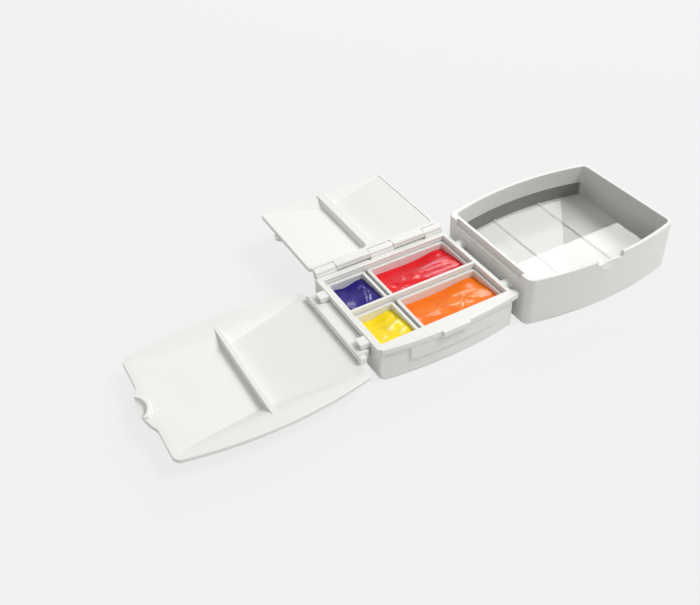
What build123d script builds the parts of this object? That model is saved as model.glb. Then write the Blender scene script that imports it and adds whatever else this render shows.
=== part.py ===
from build123d import *
import os

os.makedirs("parts", exist_ok=True)

# A pocket watercolour palette, laid open: mixing leaf, paint box, water tray.
# X runs from the mixing leaf to the tray, Y from front to back, Z up.
# The origin is on the table, below the middle of the paint wells' length.

# Fits
PIN_CLEAR = 0.05        # round a hinge pin or a peg, on the radius
SWING_CLEAR = 0.2       # between pieces that turn past each other
SEAT_CLEAR = 0.3        # between pieces that lift or slide out
FILL_CLEAR = 0.05       # between paint or water and the walls that hold it
PIN_RADIUS = 0.55

# Wells
WELL_LENGTH = 52.0
WELL_FRONT = -19.15
WELL_BACK = 20.35
DIVIDER = 1.1
ROW_RIB = 0.5               # low rib on the floor between two pans
ROW_RIB_HEIGHT = 3.0

# Paint box round the wells
BOX_HEIGHT = 15.0
BOX_LEFT = -WELL_LENGTH / 2 - 2.0
BOX_RIGHT = WELL_LENGTH / 2 + 1.6
BOX_FRONT = WELL_FRONT - 2.25       # the front wall where its bow meets the ends
BOX_BOW = 2.4
BOX_BACK = WELL_BACK + 5.15
BOX_BACK_CORNER = 2.8
BOX_FLOOR = 2.2
BOX_LEFT_EDGE = 3.5         # rounding of the bottom edge of the left end
BOX_RIGHT_EDGE = 5.0
BOX_EDGE = 1.2              # rounding of the front wall's outline

# Front flange with its thumb tab
FLANGE_LEFT = BOX_LEFT + 1.0
FLANGE_RIGHT = BOX_RIGHT + 1.3
FLANGE_THICK = 2.1
FLANGE_OVERHANG = 0.9
FLANGE_CLIP = 1.2
FLANGE_SOFT = 0.35
TAB_X = 0.65
TAB_WIDTH = 10.8
TAB_REACH = 0.95

# Raised pad on the front wall, from the flange downwards
PAD_LEFT = BOX_LEFT + 11.5
PAD_RIGHT = BOX_RIGHT - 7.4
PAD_DEPTH = 6.2
PAD_PROUD = 0.55
PAD_ROUND = 1.5

# Lugs on the left wall, pegs on the right
ARM_Y = 14.1                # either side of the middle
LUG_REACH = 3.6
LUG_WIDTH = 4.0
LUG_HEIGHT = 1.9
LUG_DROP = 0.3              # the lug's top below the rim
LUG_ROUND = 0.8
PEG_RADIUS = 2.25
PEG_DROP = 2.3              # axis below the rim
PEG_REACH = 5.4
PEG_SLIT = 0.3
PEG_BEVEL = 0.4

# Pans and paint
PAN_DROP = 2.0              # pan rim below the box rim
PAN_WALL = 0.9
PAN_FLOOR = 0.9
PAN_LIP = 0.3               # the rim stands out this far from the pan's body
PAN_LIP_HEIGHT = 1.2
PAN_CORNER = 1.2
HALF_PAN = 16.2
PAN_GAP = 1.1
PAINT_DROP = 0.9            # highest paint below the pan rim
PAINT_DIP = 2.4             # the lowest paint below the highest

# Rear leaf and its hinge
AXIS_UP = 1.3               # hinge axis above the box rim
AXIS_Y = BOX_BACK - 1.3
KNUCKLE = 1.2
KNUCKLE_BACK = 1.75         # the box's knuckles reach further back than up
KNUCKLE_SOFT = 0.35         # rounding of the leaf's knuckles
STRIP_LEFT = BOX_LEFT + 0.6
STRIP_RIGHT = BOX_RIGHT - 0.7
STRIP_SPLITS = (STRIP_LEFT + 8.2, -4.65, 5.35, STRIP_RIGHT - 7.55)
LEDGE_REACH = 1.8           # ledge in front of the box's knuckles
LEDGE_HEIGHT = 0.95
RELIEF = 0.5                # trough below the leaf's knuckles
EDGE_REACH = 2.0            # hinge axis to the leaf's edge
REAR_LEFT = BOX_LEFT - 0.6
REAR_RIGHT = BOX_RIGHT - 1.2
REAR_BACK = AXIS_Y + 43.9
REAR_PLATE = 1.5
REAR_CORNER = 1.6
REAR_DEPTH = 2.8            # deepest part of the basins
REAR_RIB = 3.2
REAR_RIB_X = -1.8
REAR_RIB_DRAFT = 0.6        # lean of the rib's sides
REAR_END = 0.9              # rim left at the ends of the basins
REAR_STEP = 0.25            # the basins start this deep at that rim
REAR_ROUND = 2.0            # corners of the basins
REAR_FRONT_RIM = AXIS_Y + 3.0
REAR_FRONT_RUN = 0.9        # length of the slope at the hinge side
REAR_BACK_RUN = 6.4         # length of the slope at the back
REAR_SKIN = 1.0
GRIP_Y = AXIS_Y + 28.4
GRIP_RADIUS = 2.8
GRIP_PROUD = 1.2
GRIP_THICK = 0.8
GRIP_BITE = 0.2

# Clip strip that carries the mixing leaf below the lugs
CLIP_TOP = BOX_HEIGHT - 2.6
CLIP_LEFT = BOX_LEFT - 5.9
CLIP_HALF = 17.5
CLIP_PLATE = 1.1
CLIP_BARREL = 1.25
CLIP_BLOCK = 2.9
CLIP_BLOCK_LOW = CLIP_TOP - 3.8
CLIP_SOFT = 0.7
CLIP_CUT = 1.5              # cut corners beside the box
RAIL_REACH = 2.0            # rail on the box that the strip grips
RAIL_THICK = 0.9
RAIL_Z = BOX_HEIGHT - 4.7
RAIL_HALF = 15.0
EAR_WIDTH = 1.9             # the leaf's ears carry on the strip's outline
EAR_SOFT = 0.4
PIN_BITE = 1.4              # the pin's length inside an ear

# Mixing leaf
LEAF_LENGTH = 69.1
LEAF_RIGHT = CLIP_LEFT + 1.5
LEAF_LEFT = LEAF_RIGHT - LEAF_LENGTH
LEAF_CORNER_Y = 25.3
LEAF_BOW = 4.3
LEAF_TOP = CLIP_TOP - 2.75
LEAF_PLATE = 1.5
LEAF_CORNER = 3.0
LEAF_SOFT = 0.4             # rounding along the plates' top edges
LEAF_DEPTH = 3.6
LEAF_RIB = 1.55
LEAF_RIB_PLACE = 34.1       # from the leaf's left end
LEAF_RIB_X = LEAF_LEFT + LEAF_RIB_PLACE
LEAF_BASIN_Y = 22.7
LEAF_SLOPE_RUN = 6.4
LEAF_BLEND = 9.0            # the slopes leave the plate with this radius
LEAF_SKIN = 1.1
LEAF_END = 2.0              # rim left at the ends of the basins
HORN_HALF = 10.6            # end tab: half its width where it leaves the leaf
HORN_REACH = 2.5
HORN_Y = -0.2
SCOOP_Y = 0.6
SCOOP_OUT = 5.7             # scoop's centre beyond the leaf's end
SCOOP_X = LEAF_LEFT - SCOOP_OUT
SCOOP_RADIUS = 6.2
SCOOP_DEPTH = 0.9
SCOOP_ROUND = 1.7
HOOD_RADIUS = 7.8
HOOD_HALF = 5.4
HOOD_HEIGHT = 1.2
HOOD_SLOPE = 0.8

# Water tray
TRAY_GAP = 3.4              # between the box and the tray
TRAY_LENGTH = 68.0
TRAY_LEFT = BOX_RIGHT + TRAY_GAP
TRAY_RIGHT = TRAY_LEFT + TRAY_LENGTH
TRAY_RIM = 20.6
TRAY_CORNER_Y = 24.6
TRAY_BOW = 4.3
TRAY_CORNER = 3.4
TRAY_WALL = 1.4
TRAY_END_WALL = 3.0
TRAY_FLOOR = 1.5
TRAY_EDGE = 1.5
RIM_SOFT = 0.45
RECESS = 1.6                # end recess that takes the clip strip when packed
RECESS_HALF = 19.9
RECESS_DROP = 2.5
SOCKET_DEPTH = 2.0
NOTCH_PLACE = 33.6          # from the tray's left end
NOTCH_X = TRAY_LEFT + NOTCH_PLACE
NOTCH_WIDTH = 11.6
NOTCH_DEPTH = 2.0
NOTCH_ROUND = 0.8
NAIL_RADIUS = 20.0          # hollow below the notch, a shallow ball cut
NAIL_BITE = 0.75
NAIL_UP = 2.2               # the ball's centre above the notch's floor
TRAY_RIB_START = 25.0       # first rib, from the tray's left end
TRAY_RIB_PITCH = 22.4
TRAY_RIB_FOOT = 2.4
TRAY_RIB_TOP = 1.0
TRAY_RIB_HEIGHT = 0.7
WATER_LEVEL = 12.9

# Values that follow
WELL_Y = (WELL_FRONT + WELL_BACK) / 2
ROW_WIDTH = (WELL_BACK - WELL_FRONT - DIVIDER) / 2
PAN_WIDTH = ROW_WIDTH - 2 * SEAT_CLEAR
PAN_LEFT = -WELL_LENGTH / 2 + SEAT_CLEAR
FULL_PAN = WELL_LENGTH - 2 * SEAT_CLEAR - HALF_PAN - PAN_GAP
PAN_TOP = BOX_HEIGHT - PAN_DROP
BOX_X = (BOX_LEFT + BOX_RIGHT) / 2
AXIS_Z = BOX_HEIGHT + AXIS_UP
REAR_TOP = AXIS_Z + KNUCKLE
BORE = PIN_RADIUS + PIN_CLEAR
CLIP_AXIS_X = CLIP_LEFT + CLIP_BARREL
CLIP_AXIS_Z = CLIP_TOP - CLIP_BARREL
PEG_Z = BOX_HEIGHT - PEG_DROP


def bowed_plan(left, right, front, back, front_bow, back_bow):
    """A face with straight ends and sides that bow outwards."""
    middle = (left + right) / 2
    with BuildSketch() as plan:
        with BuildLine():
            Line((left, back), (left, front))
            ThreePointArc((left, front), (middle, front - front_bow), (right, front))
            Line((right, front), (right, back))
            if back_bow:
                ThreePointArc((right, back), (middle, back + back_bow), (left, back))
            else:
                Line((right, back), (left, back))
        make_face()
    return plan.sketch


def box_plan(outset):
    """The paint box seen from above, its front moved out by outset."""
    return bowed_plan(BOX_LEFT, BOX_RIGHT, BOX_FRONT - outset, BOX_BACK, BOX_BOW, 0)


def save(builder, name):
    builder.part.label = name
    export_step(builder.part, f"parts/{name}.step")


# Hinge segments: first, third and last belong to the box, the others to the rear leaf
STRIP_EDGES = (STRIP_LEFT,) + STRIP_SPLITS + (STRIP_RIGHT,)
BOX_SEGMENTS = [(STRIP_EDGES[i], STRIP_EDGES[i + 1]) for i in (0, 2, 4)]
LEAF_SEGMENTS = [(STRIP_EDGES[i] + SWING_CLEAR, STRIP_EDGES[i + 1] - SWING_CLEAR) for i in (1, 3)]

# Paint box
with BuildPart() as paint_box:
    with BuildSketch():
        add(box_plan(0))
    extrude(amount=BOX_HEIGHT)
    with BuildSketch(Plane.XZ.offset(-BOX_BACK)) as side_view:
        with Locations((BOX_X, BOX_HEIGHT / 2)):
            Rectangle(BOX_RIGHT - BOX_LEFT, BOX_HEIGHT)
        lower_corners = side_view.vertices().group_by(Axis.Y)[0].sort_by(Axis.X)
        fillet(lower_corners[0], BOX_LEFT_EDGE)
        fillet(lower_corners[-1], BOX_RIGHT_EDGE)
    extrude(amount=BOX_BACK - BOX_FRONT + 2 * BOX_BOW, mode=Mode.INTERSECT)
    front_wall = paint_box.faces().sort_by(Axis.Y)[0]
    fillet(front_wall.edges().sort_by(Axis.Z)[:-1], BOX_EDGE)
    back_wall = paint_box.faces().sort_by(Axis.Y)[-1]
    fillet(back_wall.edges().sort_by(Axis.Z)[:-1], BOX_BACK_CORNER)

    # flange: a bowed rail over the front wall with a tab and one clipped corner
    with BuildSketch(Plane.XY.offset(BOX_HEIGHT - FLANGE_THICK)) as flange:
        flange_front = BOX_FRONT - FLANGE_OVERHANG
        add(bowed_plan(FLANGE_LEFT, FLANGE_RIGHT, flange_front, WELL_FRONT, BOX_BOW, 0))
        chamfer(flange.vertices().group_by(Axis.X)[-1].sort_by(Axis.Y)[-1], FLANGE_CLIP)
        fillet(flange.vertices().group_by(Axis.Y)[0], FLANGE_SOFT)
        with Locations((TAB_X, flange_front - BOX_BOW)):
            Rectangle(TAB_WIDTH, 2 * TAB_REACH)
    extrude(amount=FLANGE_THICK)

    # raised pad that follows the bow of the front wall
    with BuildPart(mode=Mode.PRIVATE) as pad:
        with BuildSketch(Plane.XZ.offset(-BOX_FRONT)) as pad_view:
            with Locations(((PAD_LEFT + PAD_RIGHT) / 2, BOX_HEIGHT - FLANGE_THICK)):
                Rectangle(PAD_RIGHT - PAD_LEFT, 2 * PAD_DEPTH)
            fillet(pad_view.vertices().group_by(Axis.Y)[0], PAD_ROUND)
        extrude(amount=2 * BOX_BOW)
        with BuildSketch(Plane.XY.offset(BOX_FLOOR)):
            add(box_plan(PAD_PROUD))
        extrude(amount=BOX_HEIGHT - FLANGE_THICK - BOX_FLOOR, mode=Mode.INTERSECT)
    add(pad.part)

    # wells for the two rows of pans
    with BuildSketch(Plane.XY.offset(BOX_FLOOR)):
        for row in (-1, 1):
            with Locations((0, WELL_Y + row * (ROW_WIDTH + DIVIDER) / 2)):
                Rectangle(WELL_LENGTH, ROW_WIDTH)
    extrude(amount=BOX_HEIGHT, mode=Mode.SUBTRACT)
    with BuildSketch(Plane.XY.offset(BOX_FLOOR)):
        with Locations((PAN_LEFT + HALF_PAN + PAN_GAP / 2, WELL_Y)):
            Rectangle(ROW_RIB, WELL_BACK - WELL_FRONT)
    extrude(amount=ROW_RIB_HEIGHT)

    # lugs that hold the clip strip down
    for side in (-1, 1):
        with BuildSketch(Plane.XZ.offset(side * ARM_Y)) as lug:
            with Locations((BOX_LEFT, BOX_HEIGHT - LUG_DROP - LUG_HEIGHT / 2)):
                Rectangle(2 * LUG_REACH, LUG_HEIGHT)
            fillet(lug.vertices().group_by(Axis.X)[0].sort_by(Axis.Y)[0], LUG_ROUND)
            with Locations((BOX_X, BOX_HEIGHT / 2)):
                Rectangle(BOX_RIGHT - BOX_LEFT - 2 * PAN_LIP, 2 * BOX_HEIGHT, mode=Mode.SUBTRACT)
        extrude(amount=LUG_WIDTH / 2, both=True)

    # rail below the lugs for the clip strip
    with BuildSketch(Plane.XZ):
        with Locations((BOX_LEFT - RAIL_REACH / 2, RAIL_Z)):
            Rectangle(RAIL_REACH + 2 * PAN_LIP, RAIL_THICK)
    extrude(amount=RAIL_HALF, both=True)

    # pegs for the water tray, slit along their length
    with BuildSketch(Plane.YZ.offset(BOX_RIGHT - PAN_LIP)):
        for side in (-1, 1):
            with Locations((side * ARM_Y, PEG_Z)):
                Circle(PEG_RADIUS)
    extrude(amount=PEG_REACH + PAN_LIP)
    chamfer(paint_box.edges().group_by(Axis.X)[-1], PEG_BEVEL)
    with BuildSketch(Plane.YZ.offset(BOX_RIGHT)):
        for side in (-1, 1):
            with Locations((side * ARM_Y, PEG_Z)):
                Rectangle(3 * PEG_RADIUS, PEG_SLIT)
    extrude(amount=2 * PEG_REACH, mode=Mode.SUBTRACT)

    # the box's share of the rear hinge, each knuckle on a stepped ledge
    for start, end in BOX_SEGMENTS:
        with BuildSketch(Plane.YZ.offset(start)):
            with Locations((AXIS_Y, AXIS_Z)):
                Circle(KNUCKLE_BACK)
                Rectangle(2 * KNUCKLE, 2 * KNUCKLE_BACK, align=(Align.MIN, Align.CENTER), mode=Mode.INTERSECT)
            with Locations((AXIS_Y, AXIS_Z + KNUCKLE)):
                Rectangle(4 * KNUCKLE, KNUCKLE_BACK, align=(Align.CENTER, Align.MIN), mode=Mode.SUBTRACT)
            with Locations((AXIS_Y, AXIS_Z)):
                Circle(KNUCKLE)
            with Locations((AXIS_Y, AXIS_Z)):
                Rectangle(2 * KNUCKLE, 2 * KNUCKLE, align=(Align.CENTER, Align.MAX))
            with Locations((AXIS_Y - LEDGE_REACH / 2, BOX_HEIGHT)):
                Rectangle(LEDGE_REACH, 2 * LEDGE_HEIGHT)
        extrude(amount=end - start)
    for start, end in LEAF_SEGMENTS:
        with BuildSketch(Plane.YZ.offset(start - SWING_CLEAR)):
            with Locations((BOX_BACK, BOX_HEIGHT)):
                Rectangle(2 * (BOX_BACK - AXIS_Y + EDGE_REACH), 2 * RELIEF)
        extrude(amount=end - start + 2 * SWING_CLEAR, mode=Mode.SUBTRACT)
    with BuildSketch(Plane.YZ.offset(STRIP_LEFT)):
        with Locations((AXIS_Y, AXIS_Z)):
            Circle(BORE)
    extrude(amount=STRIP_RIGHT - STRIP_LEFT, mode=Mode.SUBTRACT)
save(paint_box, "paint_box")

# Rear hinge pin
with BuildPart() as rear_hinge_pin:
    with BuildSketch(Plane.YZ.offset(STRIP_LEFT)):
        with Locations((AXIS_Y, AXIS_Z)):
            Circle(PIN_RADIUS)
    extrude(amount=STRIP_RIGHT - STRIP_LEFT)
    chamfer(rear_hinge_pin.edges(), PIN_RADIUS / 4)
save(rear_hinge_pin, "rear_hinge_pin")


# Pans with their paint
def pan_faces(length, inset):
    """Plan of a pan, drawn in from its rim by inset."""
    with BuildSketch() as plan:
        RectangleRounded(length - 2 * inset, PAN_WIDTH - 2 * inset, PAN_CORNER - inset / 2)
    return plan.sketch


def place_pan(length, left, row):
    return (left + length / 2, WELL_Y + row * (ROW_WIDTH + DIVIDER) / 2)


def make_pan(length, left, row, name):
    with BuildPart() as pan:
        with BuildSketch(Plane.XY.offset(BOX_FLOOR)):
            with Locations(place_pan(length, left, row)):
                add(pan_faces(length, PAN_LIP))
        extrude(amount=PAN_TOP - BOX_FLOOR)
        fillet(pan.edges().group_by(Axis.Z)[0], PAN_LIP)
        with BuildSketch(Plane.XY.offset(PAN_TOP - PAN_LIP_HEIGHT)):
            with Locations(place_pan(length, left, row)):
                add(pan_faces(length, 0))
        extrude(amount=PAN_LIP_HEIGHT)
        with BuildSketch(Plane.XY.offset(BOX_FLOOR + PAN_FLOOR)):
            with Locations(place_pan(length, left, row)):
                add(pan_faces(length, PAN_WALL + PAN_LIP))
        extrude(amount=PAN_TOP, mode=Mode.SUBTRACT)
        fillet(pan.edges().group_by(Axis.Z)[-1], PAN_LIP / 2)
    save(pan, name)


def make_paint(length, left, row, name):
    """Paint poured into a pan: high at the front, sunk towards the back."""
    x, y = place_pan(length, left, row)
    half = PAN_WIDTH / 2
    high = PAN_TOP - PAINT_DROP
    with BuildPart() as paint:
        with BuildSketch(Plane.XY.offset(BOX_FLOOR + PAN_FLOOR)):
            with Locations((x, y)):
                add(pan_faces(length, PAN_WALL + PAN_LIP + FILL_CLEAR))
        extrude(amount=high - BOX_FLOOR - PAN_FLOOR)
        with BuildSketch(Plane.YZ.offset(left)):
            with BuildLine():
                Spline(
                    (y - half, high - PAINT_DIP / 4),
                    (y - half / 2, high),
                    (y, high - PAINT_DIP / 3),
                    (y + half / 2, high - PAINT_DIP),
                    (y + half, high - PAINT_DIP * 3 / 4),
                )
                Line((y + half, high - PAINT_DIP * 3 / 4), (y + half, PAN_TOP + PAN_DROP))
                Line((y + half, PAN_TOP + PAN_DROP), (y - half, PAN_TOP + PAN_DROP))
                Line((y - half, PAN_TOP + PAN_DROP), (y - half, high - PAINT_DIP / 4))
            make_face()
        extrude(amount=length, mode=Mode.SUBTRACT)
    save(paint, name)


for row, place, half_colour, full_colour in ((-1, "front", "yellow", "orange"), (1, "back", "violet", "red")):
    make_pan(HALF_PAN, PAN_LEFT, row, f"half_pan_{place}")
    make_pan(FULL_PAN, PAN_LEFT + HALF_PAN + PAN_GAP, row, f"full_pan_{place}")
    make_paint(HALF_PAN, PAN_LEFT, row, f"paint_{half_colour}")
    make_paint(FULL_PAN, PAN_LEFT + HALF_PAN + PAN_GAP, row, f"paint_{full_colour}")

# Rear leaf: a thin lid with two basins that deepen towards the middle rib
REAR_EDGE = AXIS_Y + EDGE_REACH
REAR_UNDER = REAR_TOP - REAR_PLATE


def rear_pocket(profile, top, depth):
    """Wedge with this XZ profile, cut off by the slopes and the rounded corners."""
    first = min(x for x, z in profile)
    last = max(x for x, z in profile)
    with BuildPart() as wedge:
        with BuildSketch(Plane.XZ.offset(-REAR_BACK)):
            with BuildLine():
                Polyline(*profile, close=True)
            make_face()
        extrude(amount=REAR_BACK - REAR_EDGE)
        with BuildSketch(Plane.XY.offset(top - depth)):
            with Locations(((first + last) / 2, (REAR_FRONT_RIM + REAR_BACK) / 2)):
                RectangleRounded(last - first, REAR_BACK - REAR_FRONT_RIM, REAR_ROUND)
        extrude(amount=depth, mode=Mode.INTERSECT)
        with BuildSketch(Plane.YZ.offset(first)):
            with BuildLine():
                Polyline(
                    (REAR_FRONT_RIM, top),
                    (REAR_FRONT_RIM + REAR_FRONT_RUN, top - depth),
                    (REAR_BACK - REAR_BACK_RUN, top - depth),
                    (REAR_BACK - REAR_FRONT_RUN / 4, top),
                    close=True,
                )
            make_face()
        extrude(amount=last - first, mode=Mode.INTERSECT)
    return wedge.part


with BuildPart() as rear_leaf:
    with BuildSketch(Plane.XY.offset(REAR_UNDER)):
        with Locations(((REAR_LEFT + REAR_RIGHT) / 2, (REAR_EDGE + REAR_BACK) / 2)):
            RectangleRounded(REAR_RIGHT - REAR_LEFT, REAR_BACK - REAR_EDGE, REAR_CORNER)
    extrude(amount=REAR_PLATE)
    fillet(rear_leaf.edges().group_by(Axis.Z)[-1], LEAF_SOFT)
    rib_left = REAR_RIB_X - REAR_RIB / 2
    rib_right = REAR_RIB_X + REAR_RIB / 2
    left_end = REAR_LEFT + REAR_END
    right_end = REAR_RIGHT - REAR_END
    under_top = REAR_TOP - REAR_SKIN
    under = [
        (left_end, under_top),
        (rib_left - REAR_RIB_DRAFT, under_top - REAR_DEPTH),
        (rib_right + REAR_RIB_DRAFT, under_top - REAR_DEPTH),
        (right_end, under_top),
    ]
    left_basin = [
        (left_end, REAR_TOP),
        (left_end, REAR_TOP - REAR_STEP),
        (rib_left - REAR_RIB_DRAFT, REAR_TOP - REAR_DEPTH),
        (rib_left, REAR_TOP),
    ]
    right_basin = [
        (rib_right, REAR_TOP),
        (rib_right + REAR_RIB_DRAFT, REAR_TOP - REAR_DEPTH),
        (right_end, REAR_TOP - REAR_STEP),
        (right_end, REAR_TOP),
    ]
    add(rear_pocket(under, under_top, REAR_DEPTH))
    add(rear_pocket(left_basin, REAR_TOP, REAR_DEPTH), mode=Mode.SUBTRACT)
    add(rear_pocket(right_basin, REAR_TOP, REAR_DEPTH), mode=Mode.SUBTRACT)

    # knuckles with their arms
    for start, end in LEAF_SEGMENTS:
        with BuildSketch(Plane.YZ.offset(start)):
            with Locations((AXIS_Y, AXIS_Z)):
                RectangleRounded(2 * KNUCKLE, 2 * KNUCKLE, KNUCKLE_SOFT)
            with Locations((AXIS_Y, REAR_TOP)):
                Rectangle(EDGE_REACH + LEAF_SOFT, REAR_PLATE, align=(Align.MIN, Align.MAX))
        extrude(amount=end - start)
    with BuildSketch(Plane.YZ.offset(STRIP_LEFT)):
        with Locations((AXIS_Y, AXIS_Z)):
            Circle(BORE)
    extrude(amount=STRIP_RIGHT - STRIP_LEFT, mode=Mode.SUBTRACT)

    # finger grip below the left edge
    with BuildSketch(Plane.XY.offset(REAR_UNDER - GRIP_THICK)) as grip:
        with Locations((REAR_LEFT + GRIP_RADIUS - GRIP_PROUD, GRIP_Y)):
            Circle(GRIP_RADIUS)
    extrude(amount=GRIP_THICK + GRIP_BITE)
save(rear_leaf, "rear_leaf")


# Mixing leaf: two deep basins either side of a thin rib, on a bowed plate
def leaf_pocket(first, last, deepest, top, depth):
    """Wedge between two X values whose long sides slope in towards the floor."""
    with BuildPart() as wedge:
        with BuildSketch(Plane.XZ.offset(-LEAF_CORNER_Y)):
            with BuildLine():
                Polyline((first, top), *[(x, top - depth) for x in deepest], (last, top), close=True)
            make_face()
        extrude(amount=2 * LEAF_CORNER_Y)
        with BuildSketch(Plane.YZ.offset(min(first, last))) as section:
            with BuildLine():
                Polyline(
                    (-2 * LEAF_BASIN_Y, top + depth),
                    (-2 * LEAF_BASIN_Y, top),
                    (-LEAF_BASIN_Y, top),
                    (LEAF_SLOPE_RUN - LEAF_BASIN_Y, top - depth),
                    (LEAF_BASIN_Y - LEAF_SLOPE_RUN, top - depth),
                    (LEAF_BASIN_Y, top),
                    (2 * LEAF_BASIN_Y, top),
                    (2 * LEAF_BASIN_Y, top + depth),
                    close=True,
                )
            make_face()
            shoulders = section.vertices().filter_by(
                lambda vertex: abs(abs(vertex.X) - LEAF_BASIN_Y) < LEAF_SOFT
            )
            fillet(shoulders, LEAF_BLEND)
        extrude(amount=abs(last - first), mode=Mode.INTERSECT)
    return wedge.part


def leaf_plan():
    """Bowed plate with rounded corners and the end tab."""
    with BuildSketch() as plan:
        add(bowed_plan(LEAF_LEFT, LEAF_RIGHT, -LEAF_CORNER_Y, LEAF_CORNER_Y, LEAF_BOW, LEAF_BOW))
        fillet(plan.vertices(), LEAF_CORNER)
        with BuildLine():
            ThreePointArc(
                (LEAF_LEFT, HORN_Y - HORN_HALF),
                (LEAF_LEFT - HORN_REACH, HORN_Y),
                (LEAF_LEFT, HORN_Y + HORN_HALF),
            )
            Line((LEAF_LEFT, HORN_Y + HORN_HALF), (LEAF_LEFT + HORN_REACH, HORN_Y))
            Line((LEAF_LEFT + HORN_REACH, HORN_Y), (LEAF_LEFT, HORN_Y - HORN_HALF))
        make_face()
    return plan.sketch


with BuildPart() as mixing_leaf:
    with BuildSketch(Plane.XY.offset(LEAF_TOP - LEAF_PLATE)):
        add(leaf_plan())
    extrude(amount=LEAF_PLATE)
    fillet(mixing_leaf.edges().group_by(Axis.Z)[-1], LEAF_SOFT)
    leaf_rib_left = LEAF_RIB_X - LEAF_RIB / 2
    leaf_rib_right = LEAF_RIB_X + LEAF_RIB / 2
    basin_left = LEAF_LEFT + LEAF_END
    basin_right = CLIP_LEFT - LEAF_SOFT
    add(leaf_pocket(basin_left, basin_right, (leaf_rib_left, leaf_rib_right), LEAF_TOP - LEAF_SKIN, LEAF_DEPTH))
    add(leaf_pocket(basin_left, leaf_rib_left, (leaf_rib_left,), LEAF_TOP, LEAF_DEPTH), mode=Mode.SUBTRACT)
    add(leaf_pocket(basin_right, leaf_rib_right, (leaf_rib_right,), LEAF_TOP, LEAF_DEPTH), mode=Mode.SUBTRACT)

    # hooded scoop on the end tab
    with BuildSketch(Plane.XY.offset(LEAF_TOP)) as hood:
        with Locations((SCOOP_X, SCOOP_Y)):
            Circle(HOOD_RADIUS)
            Rectangle(2 * HOOD_RADIUS, 2 * HOOD_HALF, mode=Mode.INTERSECT)
        add(leaf_plan(), mode=Mode.INTERSECT)
    extrude(amount=HOOD_HEIGHT)
    ridge = mixing_leaf.edges().group_by(Axis.Z)[-1].sort_by(Axis.X)[-1]
    chamfer(ridge, HOOD_SLOPE)
    with BuildPart(mode=Mode.PRIVATE) as scoop:
        with BuildSketch(Plane.XY.offset(LEAF_TOP - SCOOP_DEPTH)):
            with Locations((SCOOP_X, SCOOP_Y)):
                Circle(SCOOP_RADIUS)
        extrude(amount=SCOOP_DEPTH + 2 * HOOD_HEIGHT)
        fillet(scoop.edges().group_by(Axis.Z)[0], SCOOP_ROUND)
    add(scoop.part, mode=Mode.SUBTRACT)

    # an ear at either end of the clip strip, with a blind hole for the pin
    for side in (-1, 1):
        with BuildPart(mode=Mode.PRIVATE) as ear:
            with BuildSketch(Plane.XZ.offset(side * (CLIP_HALF + SWING_CLEAR + EAR_WIDTH / 2))) as ear_side:
                with Locations((CLIP_AXIS_X, CLIP_AXIS_Z)):
                    Rectangle(2 * CLIP_BARREL, 2 * CLIP_BARREL)
                fillet(ear_side.vertices().group_by(Axis.Y)[-1].sort_by(Axis.X)[0], CLIP_SOFT)
                with Locations((CLIP_LEFT, CLIP_AXIS_Z)):
                    foot = CLIP_AXIS_Z - LEAF_TOP + LEAF_PLATE
                    Rectangle(LEAF_RIGHT - CLIP_LEFT, foot, align=(Align.MIN, Align.MAX))
            extrude(amount=EAR_WIDTH / 2, both=True)
            outer_face = ear.faces().sort_by(Axis.Y)[-1 if side < 0 else 0]
            fillet(outer_face.edges().filter_by(lambda edge: edge.center().Z > CLIP_AXIS_Z), EAR_SOFT)
        add(ear.part)
    with BuildSketch(Plane.XZ):
        with Locations((CLIP_AXIS_X, CLIP_AXIS_Z)):
            Circle(BORE)
    extrude(amount=CLIP_HALF + SWING_CLEAR + PIN_BITE + PIN_CLEAR, both=True, mode=Mode.SUBTRACT)
save(mixing_leaf, "mixing_leaf")

# Clip strip: hinge barrel on the left, grooved block on the right
with BuildPart() as clip_strip:
    clip_right = BOX_LEFT - SWING_CLEAR
    with BuildSketch(Plane.XZ) as profile:
        with Locations((CLIP_AXIS_X, CLIP_AXIS_Z)):
            Rectangle(2 * CLIP_BARREL, 2 * CLIP_BARREL)
        with Locations(((CLIP_LEFT + clip_right) / 2, CLIP_TOP - CLIP_PLATE / 2)):
            Rectangle(clip_right - CLIP_LEFT, CLIP_PLATE)
        with Locations((clip_right - CLIP_BLOCK / 2, (CLIP_TOP + CLIP_BLOCK_LOW) / 2)):
            Rectangle(CLIP_BLOCK, CLIP_TOP - CLIP_BLOCK_LOW)
        fillet(profile.vertices().group_by(Axis.X)[0], CLIP_SOFT)
        with Locations((CLIP_AXIS_X, CLIP_AXIS_Z)):
            Circle(BORE, mode=Mode.SUBTRACT)
    extrude(amount=CLIP_HALF, both=True)
    with BuildSketch(Plane.XY.offset(CLIP_BLOCK_LOW)) as strip_plan:
        with Locations(((CLIP_LEFT + clip_right) / 2, 0)):
            Rectangle(clip_right - CLIP_LEFT, 2 * CLIP_HALF)
        chamfer(strip_plan.vertices().group_by(Axis.X)[-1], CLIP_CUT)
    extrude(amount=CLIP_TOP - CLIP_BLOCK_LOW, mode=Mode.INTERSECT)
    with BuildSketch(Plane.XZ):
        with Locations((BOX_LEFT, RAIL_Z)):
            Rectangle(2 * (RAIL_REACH + PAN_LIP + SEAT_CLEAR), RAIL_THICK + 2 * SWING_CLEAR)
    extrude(amount=RAIL_HALF + SEAT_CLEAR, both=True, mode=Mode.SUBTRACT)
save(clip_strip, "clip_strip")

# Pin through the clip strip and the ears
with BuildPart() as clip_pin:
    with BuildSketch(Plane.XZ):
        with Locations((CLIP_AXIS_X, CLIP_AXIS_Z)):
            Circle(PIN_RADIUS)
    extrude(amount=CLIP_HALF + SWING_CLEAR + PIN_BITE, both=True)
    chamfer(clip_pin.edges().filter_by(GeomType.CIRCLE), PIN_RADIUS / 4)
save(clip_pin, "clip_pin")


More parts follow.
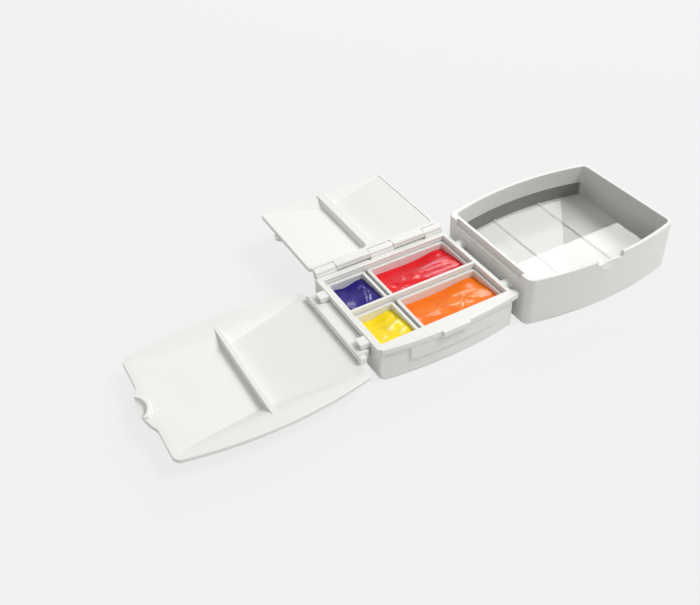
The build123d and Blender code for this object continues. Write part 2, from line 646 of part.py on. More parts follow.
# Water tray: a deep tub with bowed front and back
def tray_shell(low, high, end_wall, wall):
    """Solid between two heights, drawn in from the tray's outside."""
    with BuildPart() as shell:
        with BuildSketch(Plane.XY.offset(low)) as section:
            left = TRAY_LEFT + end_wall
            corner = TRAY_CORNER_Y - wall
            add(bowed_plan(left, TRAY_RIGHT - wall, -corner, corner, TRAY_BOW, TRAY_BOW))
            fillet(section.vertices(), TRAY_CORNER - wall)
        extrude(amount=high - low)
    return shell.part


with BuildPart() as water_tray:
    add(tray_shell(0, TRAY_RIM, 0, 0))
    fillet(water_tray.edges().group_by(Axis.Z)[0], TRAY_EDGE)
    add(tray_shell(TRAY_FLOOR, TRAY_RIM, TRAY_END_WALL, TRAY_WALL), mode=Mode.SUBTRACT)
    fillet(water_tray.edges().group_by(Axis.Z)[-1], RIM_SOFT)

    # recess and peg sockets in the end that faces the box
    with BuildSketch(Plane.XY.offset(TRAY_RIM - RECESS_DROP)):
        with Locations((TRAY_LEFT, 0)):
            Rectangle(2 * RECESS, 2 * RECESS_HALF)
    extrude(amount=2 * RECESS_DROP, mode=Mode.SUBTRACT)
    with BuildSketch(Plane.YZ.offset(TRAY_LEFT + SOCKET_DEPTH + PAN_LIP)):
        for side in (-1, 1):
            with Locations((side * ARM_Y, PEG_Z)):
                Circle(PEG_RADIUS + PIN_CLEAR)
    extrude(amount=-2 * SOCKET_DEPTH, mode=Mode.SUBTRACT)

    # notch in the front rim for the paint box's thumb tab when packed
    with BuildSketch(Plane.XZ.offset(TRAY_CORNER_Y - TRAY_BOW)) as notch:
        with Locations((NOTCH_X, TRAY_RIM)):
            Rectangle(NOTCH_WIDTH, 2 * NOTCH_DEPTH)
        fillet(notch.vertices().group_by(Axis.Y)[0], NOTCH_ROUND)
    extrude(amount=3 * TRAY_BOW, mode=Mode.SUBTRACT)
    with BuildPart(mode=Mode.PRIVATE) as nail:
        nail_y = NAIL_BITE - TRAY_CORNER_Y - TRAY_BOW - NAIL_RADIUS
        with Locations((NOTCH_X, nail_y, TRAY_RIM - NOTCH_DEPTH + NAIL_UP)):
            Sphere(NAIL_RADIUS)
    add(nail.part, mode=Mode.SUBTRACT)

    # low ribs across the floor
    with BuildPart(mode=Mode.PRIVATE) as ribs:
        for x in (TRAY_LEFT + TRAY_RIB_START, TRAY_LEFT + TRAY_RIB_START + TRAY_RIB_PITCH):
            with BuildSketch(Plane.XZ.offset(-TRAY_CORNER_Y - TRAY_BOW)):
                with BuildLine():
                    Polyline(
                        (x - TRAY_RIB_FOOT / 2, TRAY_FLOOR),
                        (x - TRAY_RIB_TOP / 2, TRAY_FLOOR + TRAY_RIB_HEIGHT),
                        (x + TRAY_RIB_TOP / 2, TRAY_FLOOR + TRAY_RIB_HEIGHT),
                        (x + TRAY_RIB_FOOT / 2, TRAY_FLOOR),
                        close=True,
                    )
                make_face()
            extrude(amount=2 * (TRAY_CORNER_Y + TRAY_BOW))
        add(tray_shell(TRAY_FLOOR, TRAY_RIM, TRAY_END_WALL, TRAY_WALL), mode=Mode.INTERSECT)
    add(ribs.part)
save(water_tray, "water_tray")

# Water lying in the tray
with BuildPart() as water:
    add(tray_shell(TRAY_FLOOR, WATER_LEVEL, TRAY_END_WALL + FILL_CLEAR, TRAY_WALL + FILL_CLEAR))
    add(ribs.part, mode=Mode.SUBTRACT)
save(water, "water")
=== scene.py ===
import bpy, bmesh, math
from mathutils import Vector, Matrix, noise


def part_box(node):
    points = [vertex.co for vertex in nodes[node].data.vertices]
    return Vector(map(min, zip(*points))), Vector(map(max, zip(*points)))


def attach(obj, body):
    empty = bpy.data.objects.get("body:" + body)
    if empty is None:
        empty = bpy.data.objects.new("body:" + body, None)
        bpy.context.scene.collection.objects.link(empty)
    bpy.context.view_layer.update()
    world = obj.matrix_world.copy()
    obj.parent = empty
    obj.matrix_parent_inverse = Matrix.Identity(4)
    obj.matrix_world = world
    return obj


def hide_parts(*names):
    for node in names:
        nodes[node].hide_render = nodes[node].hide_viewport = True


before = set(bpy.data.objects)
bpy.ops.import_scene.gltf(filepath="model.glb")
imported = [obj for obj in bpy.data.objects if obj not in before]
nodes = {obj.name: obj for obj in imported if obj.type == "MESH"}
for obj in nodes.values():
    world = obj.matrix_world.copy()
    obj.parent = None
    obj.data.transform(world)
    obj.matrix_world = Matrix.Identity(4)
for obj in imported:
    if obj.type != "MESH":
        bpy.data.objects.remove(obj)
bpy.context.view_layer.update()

scene = bpy.context.scene
scene.view_settings.view_transform = "Standard"

MM = 0.001


# ---------------------------------------------------------------- camera
PHOTO_WIDTH = 700.0     # pixels
FOCAL_LENGTH = 860.35   # pixels, fitted to the palette's straight edges
SENSOR_WIDTH = 36.0     # mm
CAMERA_PLACE = (-0.13078, -0.19849, 0.20923)
CAMERA_RIGHT = Vector((0.86888, -0.49356, -0.03808))
CAMERA_UP = Vector((0.34436, 0.54737, 0.76276))
CAMERA_BACK = Vector((-0.35562, -0.67586, 0.64556))


def make_camera():
    data = bpy.data.cameras.new("camera")
    data.sensor_fit = "HORIZONTAL"
    data.sensor_width = SENSOR_WIDTH
    data.lens = FOCAL_LENGTH * SENSOR_WIDTH / PHOTO_WIDTH
    data.clip_start, data.clip_end = 0.01, 10.0
    obj = bpy.data.objects.new("camera", data)
    scene.collection.objects.link(obj)
    axes = Matrix((CAMERA_RIGHT, CAMERA_UP, CAMERA_BACK)).transposed().to_4x4()
    obj.matrix_world = Matrix.Translation(CAMERA_PLACE) @ axes
    scene.camera = obj


make_camera()


# ---------------------------------------------------------------- material helpers
def is_socket(value):
    return isinstance(value, bpy.types.NodeSocket)


class Mat:
    """A node material being built. Values may be plain or another node's output."""

    def __init__(self, name):
        self.mat = bpy.data.materials.new(name)
        self.mat.use_nodes = True
        self.nt = self.mat.node_tree
        self.bsdf = self.nt.nodes["Principled BSDF"]
        self.out = self.nt.nodes["Material Output"]
        self.coord = self.node("ShaderNodeTexCoord")

    def node(self, kind, settings=(), **inputs):
        """A new node with its settings and the inputs given by name."""
        n = self.nt.nodes.new(kind)
        for key, value in settings:
            setattr(n, key, value)
        for key, value in inputs.items():
            self.put(n.inputs[key], value)
        return n

    def put(self, socket, value):
        if is_socket(value):
            self.nt.links.new(value, socket)
        else:
            socket.default_value = value

    def set(self, name, value):
        self.put(self.bsdf.inputs[name], value)

    def math(self, op, a, b):
        n = self.node("ShaderNodeMath", [("operation", op)])
        for socket, value in zip(n.inputs, (a, b)):
            self.put(socket, value)
        return n.outputs[0]

    def product(self, first, *others):
        for other in others:
            first = self.math("MULTIPLY", first, other)
        return first

    def vec(self, op, *values):
        """Vector maths; a length or dot product comes back as a number."""
        n = self.node("ShaderNodeVectorMath", [("operation", op)])
        for socket, value in zip(n.inputs, values):
            self.put(socket, value)
        return n.outputs[1 if op in ("LENGTH", "DOT_PRODUCT") else 0]

    def noise(self, scale, detail=3.0, rough=0.5, warp=0.0, vector=None):
        vector = vector or self.coord.outputs["Object"]
        n = self.node("ShaderNodeTexNoise", Vector=vector, Scale=scale, Detail=detail,
                      Roughness=rough, Distortion=warp)
        return n.outputs[0]

    def stretched(self, scale, turn):
        """Object coordinates scaled per axis and turned about Z, for streaks."""
        n = self.node("ShaderNodeMapping", Vector=self.coord.outputs["Object"],
                      Rotation=(0, 0, turn), Scale=scale)
        return n.outputs[0]

    def ramp(self, fac, low, high):
        """Colour that runs between two stops, each a position and a colour."""
        n = self.node("ShaderNodeValToRGB", Fac=fac)
        for stop, (position, colour) in zip(n.color_ramp.elements, (low, high)):
            stop.position = position
            stop.color = (*colour, 1)
        return n.outputs[0]

    def span(self, value, low, high, a, b):
        """Runs from a to b while the value runs from low to high, and stays within."""
        n = self.node("ShaderNodeMapRange")
        for socket, v in zip(n.inputs, (value, low, high, a, b)):
            self.put(socket, v)
        return n.outputs[0]

    def mix(self, fac, a, b):
        n = self.node("ShaderNodeMix", [("data_type", "RGBA")])
        self.put(n.inputs["Factor"], fac)
        sockets = [s for s in n.inputs if s.type == "RGBA"]
        for socket, v in zip(sockets, (a, b)):
            self.put(socket, v if is_socket(v) else (*v, 1))
        return [s for s in n.outputs if s.type == "RGBA"][0]

    def mix_shader(self, share, first, second):
        """Shows the second shader by the given share, and the first otherwise."""
        n = self.node("ShaderNodeMixShader")
        for socket, v in zip(n.inputs, (share, first.outputs[0], second.outputs[0])):
            self.put(socket, v)
        self.put(self.out.inputs["Surface"], n.outputs[0])


def shade(colour, factor):
    """The colour made lighter or darker, at most white."""
    return [min(1.0, c * factor) for c in colour]


# ---------------------------------------------------------------- plastic and steel
EDGE_RADIUS = 0.35 * MM    # width of the lighter edges: rubbed wear and a painted edge highlight
SOFT_CORNER = 0.13 * MM    # rounding of the edges that the shading shows
GRAIN_DEPTH = 0.06 * MM
UNDERWATER_SHADE_TONE = 0.19           # tone of the painted shade on the tray's inner walls under the water, as a share of the plastic's colour
PLASTIC_IOR = 1.5


def scuff_marks(m, patch):
    """Fine scratches in two directions, only within some patches."""
    one = m.noise(1.0, 2.0, 0.5, 0.0, m.stretched((30.0, 2600.0, 900.0), 0.5))
    two = m.noise(1.0, 2.0, 0.5, 0.0, m.stretched((26.0, 2100.0, 900.0), -0.9))
    marks = m.math("MAXIMUM", m.span(one, 0.66, 0.70, 0.0, 1.0),
                   m.span(two, 0.67, 0.71, 0.0, 1.0))
    return m.product(marks, m.span(patch, 0.5, 0.62, 0.0, 1.0))


def worn_and_highlit_edges(m, patch):
    """1 along sharp edges, unevenly, from how much a bevel would bend the surface: rubbed
    wear and a painted edge highlight.
    """
    soft = m.node("ShaderNodeBevel", [("samples", 4)], Radius=EDGE_RADIUS)
    flat = m.node("ShaderNodeNewGeometry").outputs["Normal"]
    bend = m.math("SUBTRACT", 1.0, m.vec("DOT_PRODUCT", soft.outputs[0], flat))
    return m.product(m.span(bend, 0.02, 0.18, 0.0, 1.0), m.span(patch, 0.35, 0.6, 0.35, 1.0))


def plastic(name, colour, rough, painted_shade=None):
    """Moulded off-white plastic: mottling, moulding grain, flow streaks, lighter edges of
    rubbed wear and painted highlight, and painted shade where one is given.
    """
    m = Mat(name)
    cloud = m.noise(38.0, 4.0, 0.6)
    grain = m.noise(2400.0, 2.0)
    flow = m.noise(1.0, 3.0, 0.6, 0.4, m.stretched((14.0, 220.0, 220.0), 0.15))
    patch = m.noise(55.0, 2.0)
    scuffs = scuff_marks(m, patch)
    edge_wear_and_highlight = worn_and_highlit_edges(m, patch)

    base = m.ramp(cloud, (0.3, shade(colour, 0.985)), (0.7, shade(colour, 1.012)))
    # lighter along the edges: rubbed wear and a painted edge highlight
    base = m.mix(edge_wear_and_highlight, base, shade(colour, 1.12))
    # painted shade: the colour is darkened on the tray's walls under the water
    if painted_shade:
        base = m.mix(painted_shade(m), base, shade(colour, UNDERWATER_SHADE_TONE))
    m.set("Base Color", base)

    roughness = m.math("ADD", m.span(cloud, 0.3, 0.7, rough - 0.04, rough + 0.04),
                       m.span(flow, 0.35, 0.65, -0.03, 0.03))
    roughness = m.math("ADD", roughness, m.product(edge_wear_and_highlight, 0.08))
    m.set("Roughness", m.math("ADD", roughness, m.product(scuffs, 0.12)))
    m.set("IOR", PLASTIC_IOR)

    rounded = m.node("ShaderNodeBevel", [("samples", 4)], Radius=SOFT_CORNER)
    height = m.math("SUBTRACT", m.product(grain, 0.35), m.product(scuffs, 0.3))
    height = m.math("ADD", height, m.product(flow, 0.4))
    bump = m.node("ShaderNodeBump", Strength=0.12, Distance=GRAIN_DEPTH, Height=height,
                  Normal=rounded.outputs[0])
    m.set("Normal", bump.outputs[0])
    return m.mat


# Painted shade on the tray's inner walls under the water line, put into the plastic's colour.
WATER_TOP = 12.9 * MM
TRAY_MIDDLE = (65.0 * MM, 0.0, 0.0)
SHADE_INNER, SHADE_OUTER = 18.0 * MM, 22.0 * MM   # the painted shade fades in this far from the middle
SHADE_EDGE = 0.1 * MM                            # half the blur of its upper edge
SHADE_SHARE = 0.9


def painted_underwater_shade(m):
    """Painted shade: a darker colour on the tray's inner walls below the water line, not on
    the floor's ribs.
    """
    place, normal = m.coord.outputs["Object"], m.coord.outputs["Normal"]
    height = m.node("ShaderNodeSeparateXYZ", Vector=place).outputs["Z"]
    middle = m.vec("MULTIPLY", m.vec("SUBTRACT", TRAY_MIDDLE, place), (1, 1, 0))
    facing = m.vec("DOT_PRODUCT", m.vec("NORMALIZE", middle), normal)
    inward = m.span(facing, 0.35, 0.6, 0.0, 1.0)
    outer = m.span(m.vec("LENGTH", middle), SHADE_INNER, SHADE_OUTER, 0.0, 1.0)
    sideways = m.node("ShaderNodeSeparateXYZ", Vector=normal).outputs["X"]
    not_right = m.span(sideways, -0.9, -0.3, 0.0, 1.0)
    below = m.span(height, WATER_TOP - SHADE_EDGE, WATER_TOP + SHADE_EDGE, 1.0, 0.0)
    return m.product(inward, not_right, outer, below, SHADE_SHARE)


def steel(name):
    """Plain drawn steel of the hinge pins."""
    m = Mat(name)
    streak = m.noise(900.0, 3.0)
    m.set("Base Color", m.ramp(streak, (0.3, (0.5, 0.5, 0.5)), (0.7, (0.66, 0.66, 0.66))))
    m.set("Roughness", m.span(streak, 0.3, 0.7, 0.25, 0.4))
    m.set("Metallic", 1.0)
    return m.mat


def give(obj, *mats):
    if obj.data.materials:      # clearing an empty list would still reset the faces' slots
        obj.data.materials.clear()
    for mat in mats:
        obj.data.materials.append(mat)


SHELL_COLOUR = (0.857, 0.853, 0.82)
PAN_COLOUR = (0.80, 0.80, 0.77)

for mat, names in (
    (plastic("shell_plastic", SHELL_COLOUR, 0.38),
     ("paint_box", "rear_leaf", "mixing_leaf", "clip_strip")),
    (plastic("tray_plastic", SHELL_COLOUR, 0.34, painted_underwater_shade), ("water_tray",)),
    (plastic("pan_plastic", PAN_COLOUR, 0.3),
     ("half_pan_front", "half_pan_back", "full_pan_front", "full_pan_back")),
    (steel("pin_steel"), ("rear_hinge_pin", "clip_pin")),
):
    for name in names:
        give(nodes[name], mat)


# ---------------------------------------------------------------- paint: material
def spot(m, place, size, turn):
    """Mask that is 1 at a place and fades to 0 over a turned oval; place and size in mm."""
    n = m.node("ShaderNodeMapping", [("vector_type", "TEXTURE")],
               Vector=m.coord.outputs["Object"],
               Location=(place[0] * MM, place[1] * MM, 0),
               Rotation=(0, 0, turn),
               Scale=(size[0] * MM, size[1] * MM, 1))
    return m.span(m.vec("LENGTH", n.outputs[0]), 0.25, 1.0, 1.0, 0.0)


def paint_material(name, light, dark, highlight_colour, centre, highlight_spots):
    """Thick wet paint: pigment swirls, and painted highlights as pale patches on the folds,
    under a glossy skin.
    """
    m = Mat(name)
    swirl = m.noise(150.0, 3.0, 0.5, 1.2)
    fine = m.noise(900.0, 3.0)
    streak = m.noise(1.0, 3.0, 0.55, 1.0, m.stretched((110.0, 520.0, 200.0), -0.1))
    # painted highlights: pale patches on the folds, broken into streaks
    highlight_zone = 0.0
    for x, y, length, width, turn, share in highlight_spots:
        mask = spot(m, (centre[0] + x, centre[1] + y), (length, width), turn)
        highlight_zone = m.math("MAXIMUM", highlight_zone, m.product(mask, share))
    highlight_streaks = m.span(streak, 0.38, 0.56, 0.15, 1.0)
    base = m.ramp(swirl, (0.36, dark), (0.58, light))
    m.set("Base Color", m.mix(m.product(highlight_zone, highlight_streaks), base, highlight_colour))
    m.set("Roughness", m.span(swirl, 0.3, 0.7, 0.3, 0.42))
    m.set("Specular IOR Level", 0.05)
    m.set("Coat Weight", 1.0)
    m.set("Coat Roughness", 0.11)
    m.set("Coat IOR", 1.35)
    bump = m.node("ShaderNodeBump", Strength=0.05, Distance=0.03 * MM, Height=fine)
    m.set("Normal", bump.outputs[0])
    return m.mat


# ---------------------------------------------------------------- paint: shape
# Heights are in mm over a level that rear_dip lowers towards the rear. x and y are mm from
# the pan's middle, u and v run from 0 to 1 from left to right and from front to rear.
PAN_TOP = 13.0 * MM
PAINT_FLOOR = 3.1 * MM
PAINT_CORNER = 0.6 * MM    # rounding of the paint's corners, seen from above
PAINT_STEP = 0.22 * MM     # size of the skin's faces
PAINT_LEVEL = 1.35         # mm from the pan's top down to the paint's level
PAINT_BELOW_TOP = 0.35 * MM


def along_across(x, y, cx, cy, turn):
    """Distances from (cx, cy) along and across a direction."""
    c, s = math.cos(turn), math.sin(turn)
    return (x - cx) * c + (y - cy) * s, (y - cy) * c - (x - cx) * s


def bell(x, y, cx, cy, length, width, turn=0.0):
    """Smooth hump of height 1 at (cx, cy), stretched and turned."""
    a, b = along_across(x, y, cx, cy, turn)
    return math.exp(-((a / length) ** 2 + (b / width) ** 2))


def fold(x, y, cx, cy, length, width, turn):
    """Rounded ridge of height 1 with one steep side."""
    a, b = along_across(x, y, cx, cy, turn)
    steep = 1 if b > 0 else 3
    return math.exp(-(a / length) ** 2 - steep * (b / width) ** 2)


def rear_dip(v):
    """Drop of the paint from front to rear: a shallow hollow in front, a slope behind."""
    return 0.45 * bell(v, 0, 0, 0, 0.22, 1) + 2.0 / (1 + math.exp(-(v - 0.62) * 9.0))


def violet_shape(x, y, u, v):
    return (1.3 * bell(u, v, 0.86, 0.88, 0.24, 0.28)
            - 0.3 * bell(u, v, 0.4, 0.95, 0.15, 0.25)
            + 0.8 * bell(u, v, 0.0, 0.85, 0.3, 0.35)
            + 0.55 * fold(x, y, 2.4, -2.2, 4.2, 1.5, 1.2)
            + 0.35 * bell(x, y, 3.1, 3.2, 1.5, 1.2)
            - 0.3 * bell(u, v, 0.35, 0.4, 0.2, 0.3))


def yellow_shape(x, y, u, v):
    return (1.0 * bell(u, v, 0.85, 0.88, 0.25, 0.25)
            - 0.5 * bell(u, v, 0.39, 0.9, 0.22, 0.25)
            + 0.4 * bell(x, y, 4.4, 0.8, 2.2, 1.4, 0.4)
            + 0.45 * fold(x, y, 1.0, -1.1, 2.6, 1.4, 0.7)
            + 0.4 * bell(x, y, 3.9, -4.3, 2.0, 1.2, 0.5)
            + 0.3 * bell(x, y, -3.6, -4.3, 2.0, 1.5)
            - 0.4 * bell(x, y, -1.7, 1.9, 1.6, 1.3))


def red_shape(x, y, u, v):
    swirl = math.hypot((x + 6.3) / 3.8, (y + 0.9) / 2.2)    # 1 on the oval ridge
    return (1.1 * bell(u, v, 0.88, 0.9, 0.17, 0.3)
            - 0.3 * bell(u, v, 0.45, 0.9, 0.25, 0.3)
            + 0.35 * fold(x, y, 6.0, 0.6, 8.0, 1.7, 0.06)
            + 0.35 * fold(x, y, 5.5, -4.6, 8.0, 1.6, -0.03)
            + 0.28 * math.exp(-((swirl - 1.0) / 0.4) ** 2)
            + 0.3 * bell(x, y, -7.2, -1.0, 1.1, 0.9))


def orange_shape(x, y, u, v):
    dx, dy = x - 4.6, y + 1.0    # from the middle of the star of five folds
    r = math.hypot(dx, dy)
    star = math.cos(5 * math.atan2(dy, dx) + 0.3 * r)
    return (1.0 * bell(u, v, 0.86, 0.88, 0.18, 0.28)
            - 0.3 * bell(u, v, 0.33, 0.9, 0.25, 0.3)
            + 0.13 * star * math.exp(-(r / 4.5) ** 2) * min(1.0, r / 1.6)
            + 0.3 * fold(x, y, 5.4, 2.4, 4.0, 1.4, -0.1)
            + 0.25 * bell(x, y, -1.5, -2.0, 2.4, 1.6, 0.6))


def ripple(x, y, seed):
    """Warped noise in mm for a place in mm."""
    p = Vector((x * 0.23 + seed, y * 0.3, seed * 1.7))
    warp = Vector((noise.noise(p), noise.noise(p + Vector((9.1, 3.3, 0))), 0))
    waves = noise.noise(Vector((x * 0.26, y * 0.3, seed)) + warp * 1.1)
    fine = noise.noise(Vector((x * 0.7, y * 0.8, seed + 4)) + warp * 1.6)
    return 0.16 * waves + 0.006 * fine


def into_corner(x, y, half_x, half_y):
    """The place pulled onto the rounded corner where it lies outside it."""
    ax, ay = half_x - PAINT_CORNER, half_y - PAINT_CORNER
    ox, oy = abs(x) - ax, abs(y) - ay
    far = math.hypot(ox, oy)
    if ox > 0 and oy > 0 and far > PAINT_CORNER:
        x = math.copysign(ax + ox * PAINT_CORNER / far, x)
        y = math.copysign(ay + oy * PAINT_CORNER / far, y)
    return x, y


def paint_level(shape, x, y, u, v, wall, seed, roughness):
    """Height of the skin; wall is the distance to the nearest wall. All in mm."""
    calm = 0.55 + 0.45 * min(1.0, wall / 1.2)
    climb = 0.12 * math.exp(-max(wall, 0.0) / 0.35)
    height = shape(x, y, u, v) + calm * roughness * ripple(x, y, seed) + climb
    return -PAINT_LEVEL - rear_dip(v) + height


def make_paint(node, shape, seed, roughness):
    """Closed body of paint: a rippled skin over straight sides and a flat underside."""
    low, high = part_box(node)
    cx, cy = (low[0] + high[0]) / 2, (low[1] + high[1]) / 2
    wide, deep = high[0] - low[0], high[1] - low[1]
    nx, ny = int(wide / PAINT_STEP), int(deep / PAINT_STEP)
    verts, faces, index = [], [], {}
    for j in range(ny + 1):
        for i in range(nx + 1):
            u, v = i / nx, j / ny
            x, y = into_corner((u - 0.5) * wide, (v - 0.5) * deep, wide / 2, deep / 2)
            wall = min(wide / 2 - abs(x), deep / 2 - abs(y)) / MM
            level = paint_level(shape, x / MM, y / MM, u, v, wall, seed, roughness)
            index[i, j] = len(verts)
            verts.append((cx + x, cy + y, PAN_TOP + min(level * MM, -PAINT_BELOW_TOP)))
    for j in range(ny):
        for i in range(nx):
            faces.append((index[i, j], index[i + 1, j], index[i + 1, j + 1], index[i, j + 1]))
    rim = [index[i, 0] for i in range(nx)] + [index[nx, j] for j in range(ny)]
    rim += [index[i, ny] for i in range(nx, 0, -1)] + [index[0, j] for j in range(ny, 0, -1)]
    base, count = len(verts), len(rim)
    verts += [(verts[k][0], verts[k][1], PAINT_FLOOR) for k in rim]
    for k in range(count):
        n = (k + 1) % count
        faces.append((rim[k], base + k, base + n, rim[n]))
    faces.append(tuple(range(base, base + count)))

    mesh = bpy.data.meshes.new(node + "_skin")
    mesh.from_pydata(verts, [], faces)
    mesh.validate()
    bm = bmesh.new()
    bm.from_mesh(mesh)
    bmesh.ops.recalc_face_normals(bm, faces=bm.faces)
    bm.to_mesh(mesh)
    bm.free()
    for poly in mesh.polygons:
        poly.use_smooth = True
    mesh.polygons[len(mesh.polygons) - 1].use_smooth = False    # the underside
    obj = bpy.data.objects.new(node + "_skin", mesh)
    scene.collection.objects.link(obj)
    return obj


# Each paint: CAD node, body, slot, shape, seed, roughness of the ripples, light and dark
# colour, the pale colour of its painted highlights, and the highlights' spots as (x, y,
# length, width, turn, share) from the pan's middle.
PAINTS = (
    ("paint_yellow", "half_pan_front", "yellow", yellow_shape, 1.3, 1.0,
     (1.0, 0.78, 0.006), (0.98, 0.70, 0.004), (1.0, 0.95, 0.52),
     ((4.4, 0.8, 2.6, 1.3, 0.3, 0.9),
      (1.0, -1.1, 2.6, 1.2, 0.7, 0.8),
      (3.9, -4.3, 2.4, 1.2, 0.6, 0.8),
      (-3.2, -4.3, 2.6, 1.1, 0.5, 0.5))),
    ("paint_violet", "half_pan_back", "violet", violet_shape, 5.2, 0.8,
     (0.014, 0.004, 0.22), (0.008, 0.002, 0.14), (0.26, 0.26, 0.56),
     ((3.1, 3.7, 1.5, 0.8, 0.4, 0.9),
      (2.2, -2.4, 5.0, 0.5, 1.2, 0.9),
      (-2.4, -2.0, 3.0, 2.0, 0.9, 0.04))),
    ("paint_red", "full_pan_back", "red", red_shape, 8.6, 0.6,
     (0.82, 0.003, 0.012), (0.70, 0.002, 0.008), (0.90, 0.30, 0.38),
     ((6.8, 1.4, 9.0, 1.5, 0.06, 0.9),
      (6.4, -4.4, 8.5, 1.7, -0.03, 0.85),
      (-7.3, -1.0, 1.5, 0.8, 0.4, 0.5),
      (10.0, -1.8, 4.0, 0.9, 0.0, 0.45),
      (-10.0, -5.4, 4.5, 0.9, 0.1, 0.35))),
    ("paint_orange", "full_pan_front", "orange", orange_shape, 3.9, 0.5,
     (0.98, 0.215, 0.0), (0.95, 0.175, 0.0), (0.99, 0.52, 0.22),
     ((5.4, 2.3, 3.8, 1.3, -0.1, 0.7),
      (11.8, -0.8, 3.2, 1.5, 0.0, 0.35),
      (4.4, -3.4, 1.1, 2.8, 0.1, 0.6),
      (-3.5, -3.0, 3.0, 1.0, 0.6, 0.25))),
)
for node, body, slot, shape, seed, roughness, light, dark, highlight_colour, highlight_spots in PAINTS:
    skin = make_paint(node, shape, seed, roughness)
    pan_low, pan_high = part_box(node)
    centre = [(pan_low[k] + pan_high[k]) / 2 / MM for k in (0, 1)]
    give(skin, paint_material(node + "_gloss", light, dark, highlight_colour, centre, highlight_spots))
    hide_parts(node)
    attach(skin, body)


# ---------------------------------------------------------------- water in the tray
WATER_IOR = 1.333
WATER_FILTER = (0.69, 0.69, 0.68, 1)    # what its top lets through of lamp and bounced light
UNDERSIDE_GAP = 0.03 * MM               # keeps it off the tray's floor and ribs
EDGE_RISE = 0.12                        # mm that the water climbs at the walls
EDGE_RINGS = ((0.10, 0.07), (0.25, 0.035), (0.45, 0.012), (0.75, 0.0))    # mm in, mm up


def water_material(top):
    """Clear water: the top bends and mirrors light, the sides lie against the tray."""
    m = Mat("water_surface" if top else "water_side")
    faint = (0.97, 0.98, 0.98) if top else (0.96, 0.97, 0.97)
    m.set("Base Color", m.ramp(m.noise(40.0), (0.3, faint), (0.7, (1, 1, 1))))
    m.set("IOR", WATER_IOR)
    m.set("Roughness", 0.0)
    m.set("Transmission Weight", 1.0)
    if top:
        path = m.node("ShaderNodeLightPath").outputs
        clear = m.node("ShaderNodeBsdfTransparent", Color=WATER_FILTER)
        passing = m.math("MAXIMUM", path["Is Shadow Ray"], path["Is Diffuse Ray"])
        m.mix_shader(passing, m.bsdf, clear)
    else:
        m.set("Alpha", 0.0)
    return m.mat


def open_edge(bm):
    """The vertices round the opening in order, anticlockwise seen from above."""
    links = {}
    for e in bm.edges:
        if e.is_boundary:
            for v in e.verts:
                links.setdefault(v, []).append(e.other_vert(v))
    first = next(iter(links))
    loop, before, here = [first], None, first
    while True:
        after = [v for v in links[here] if v is not before][0]
        if after is first:
            break
        loop.append(after)
        before, here = here, after
    area = sum(a.co.x * b.co.y - b.co.x * a.co.y for a, b in zip(loop, loop[1:] + loop[:1]))
    if area < 0:
        loop.reverse()
    return loop


def make_water():
    """The water's body with a curved edge where it climbs the tray's walls."""
    bm = bmesh.new()
    bm.from_mesh(nodes["water"].data)
    bmesh.ops.remove_doubles(bm, verts=bm.verts, dist=0.001 * MM)
    for v in bm.verts:
        if v.co.z < WATER_TOP / 2:
            v.co.z += UNDERSIDE_GAP
    top = [f for f in bm.faces if min(v.co.z for v in f.verts) > WATER_TOP - 0.02 * MM]
    bmesh.ops.delete(bm, geom=top, context="FACES")
    for f in bm.faces:
        f.material_index = 1    # the sides; the new top below has slot 0

    loop = open_edge(bm)
    count = len(loop)
    inward = []
    for k in range(count):
        d = (loop[(k + 1) % count].co - loop[k - 1].co).normalized()
        inward.append(Vector((-d.y, d.x, 0)))
    rings = [loop]
    for inset, rise in EDGE_RINGS:
        rings.append([
            bm.verts.new(v.co + inward[k] * inset * MM + Vector((0, 0, rise * MM)))
            for k, v in enumerate(loop)
        ])
    for v in loop:
        v.co.z += EDGE_RISE * MM
    for outer, inner in zip(rings, rings[1:]):
        for k in range(count):
            n = (k + 1) % count
            bm.faces.new((outer[k], outer[n], inner[n], inner[k])).smooth = True
    bm.faces.new(rings[-1])
    bmesh.ops.recalc_face_normals(bm, faces=bm.faces)
    mesh = bpy.data.meshes.new("water_body")
    bm.to_mesh(mesh)
    bm.free()
    obj = bpy.data.objects.new("water_body", mesh)
    scene.collection.objects.link(obj)
    return obj


water = make_water()
give(water, water_material(True), water_material(False))
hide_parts("water")
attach(water, "tray")


# ---------------------------------------------------------------- floor and light
FLOOR_HALF = 3.0           # m from its middle to its edge
FLOOR_DROP = 0.2 * MM      # below the object's underside
FLOOR_GREY = (0.66, 0.66, 0.66, 1)
FLOOR_TONE = (0.92, 0.92, 0.92, 1)    # the tone that is shown
TONE_SHARE = 0.86          # the rest shows the lit floor with the shadow
BACKDROP = 0.87            # tone of the floor far away
WORLD_LIGHT = 0.455


def shows_background(tree):
    """1 for rays that show the background: from the camera, in gloss and through glass."""
    path = tree.nodes.new("ShaderNodeLightPath")
    value = path.outputs["Is Camera Ray"]
    for kind in ("Is Glossy Ray", "Is Transmission Ray"):
        most = tree.nodes.new("ShaderNodeMath")
        most.operation = "MAXIMUM"
        tree.links.new(value, most.inputs[0])
        tree.links.new(path.outputs[kind], most.inputs[1])
        value = most.outputs[0]
    return value


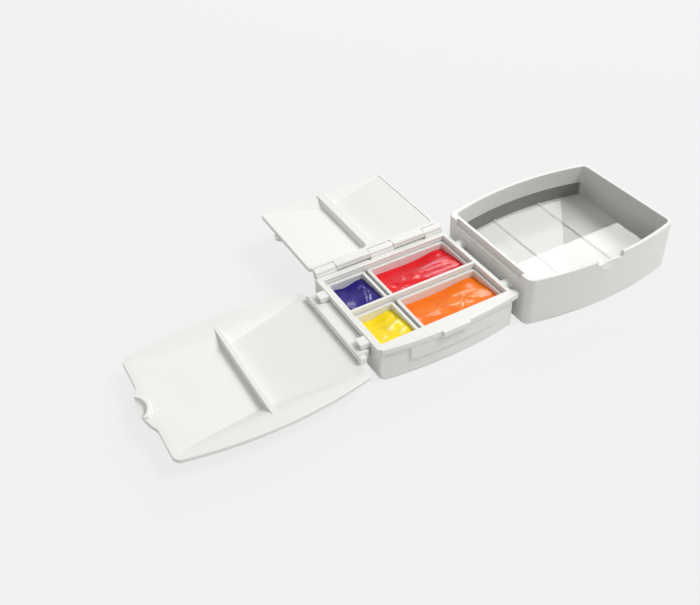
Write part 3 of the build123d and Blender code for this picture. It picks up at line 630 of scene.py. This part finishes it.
def make_floor():
    mesh = bpy.data.meshes.new("floor")
    s = FLOOR_HALF
    mesh.from_pydata([(-s, -s, 0), (s, -s, 0), (s, s, 0), (-s, s, 0)], [], [(0, 1, 2, 3)])
    floor = bpy.data.objects.new("floor", mesh)
    floor.location.z = -FLOOR_DROP
    scene.collection.objects.link(floor)
    m = Mat("floor_paper")
    m.set("Base Color", FLOOR_GREY)
    m.set("Roughness", 0.9)
    m.set("Specular IOR Level", 0.0)
    glow = m.node("ShaderNodeEmission", Color=FLOOR_TONE, Strength=1.0)
    m.mix_shader(m.product(shows_background(m.nt), TONE_SHARE), m.bsdf, glow)
    mesh.materials.append(m.mat)


def make_world():
    """Even light from all round, which looks like the far floor where it is seen."""
    world = bpy.data.worlds.new("studio")
    scene.world = world
    world.use_nodes = True
    tree = world.node_tree
    background = tree.nodes["Background"]
    background.inputs["Color"].default_value = (1, 1, 1, 1)
    strength = tree.nodes.new("ShaderNodeMapRange")
    strength.inputs["To Min"].default_value = WORLD_LIGHT
    strength.inputs["To Max"].default_value = BACKDROP
    tree.links.new(shows_background(tree), strength.inputs["Value"])
    tree.links.new(strength.outputs[0], background.inputs["Strength"])


def add_lamp(name, kind, energy):
    lamp = bpy.data.lights.new(name, kind)
    lamp.energy = energy
    obj = bpy.data.objects.new(name, lamp)
    scene.collection.objects.link(obj)
    return obj


def make_sun(name, towards, energy, degrees):
    """Soft far lamp that stands in the given direction."""
    obj = add_lamp(name, "SUN", energy)
    obj.data.angle = math.radians(degrees)
    obj.rotation_euler = Vector(towards).normalized().to_track_quat("Z", "Y").to_euler()


def make_softbox(name, centre, along, size, energy):
    """Flat lamp that faces down; its first side runs along the given direction."""
    obj = add_lamp(name, "AREA", energy)
    obj.data.shape = "RECTANGLE"
    obj.data.size, obj.data.size_y = size
    obj.location = centre
    obj.rotation_euler = (0, 0, math.atan2(along[1], along[0]))
    obj.visible_camera = False


make_floor()
make_world()
make_sun("key", (0.48, -0.33, 0.82), 1.76, 22)

# The water mirrors both softboxes: the first is a slanted patch, the second a band in front.
BOX_CORNER = Vector((0.521, 0.438, 0.5129))
BOX_EDGE = Vector((0.61, 0.79, 0))
BOX_SIDE = Vector((-0.79, 0.61, 0))
box_left_centre = BOX_CORNER + BOX_EDGE * 0.09 + BOX_SIDE * 0.12
make_softbox("box_left", box_left_centre, BOX_EDGE, (0.22, 0.24), 0.8)
make_softbox("box_front", (0.560, 0.434, 0.520), (1, 0, 0), (0.44, 0.11), 1.3)
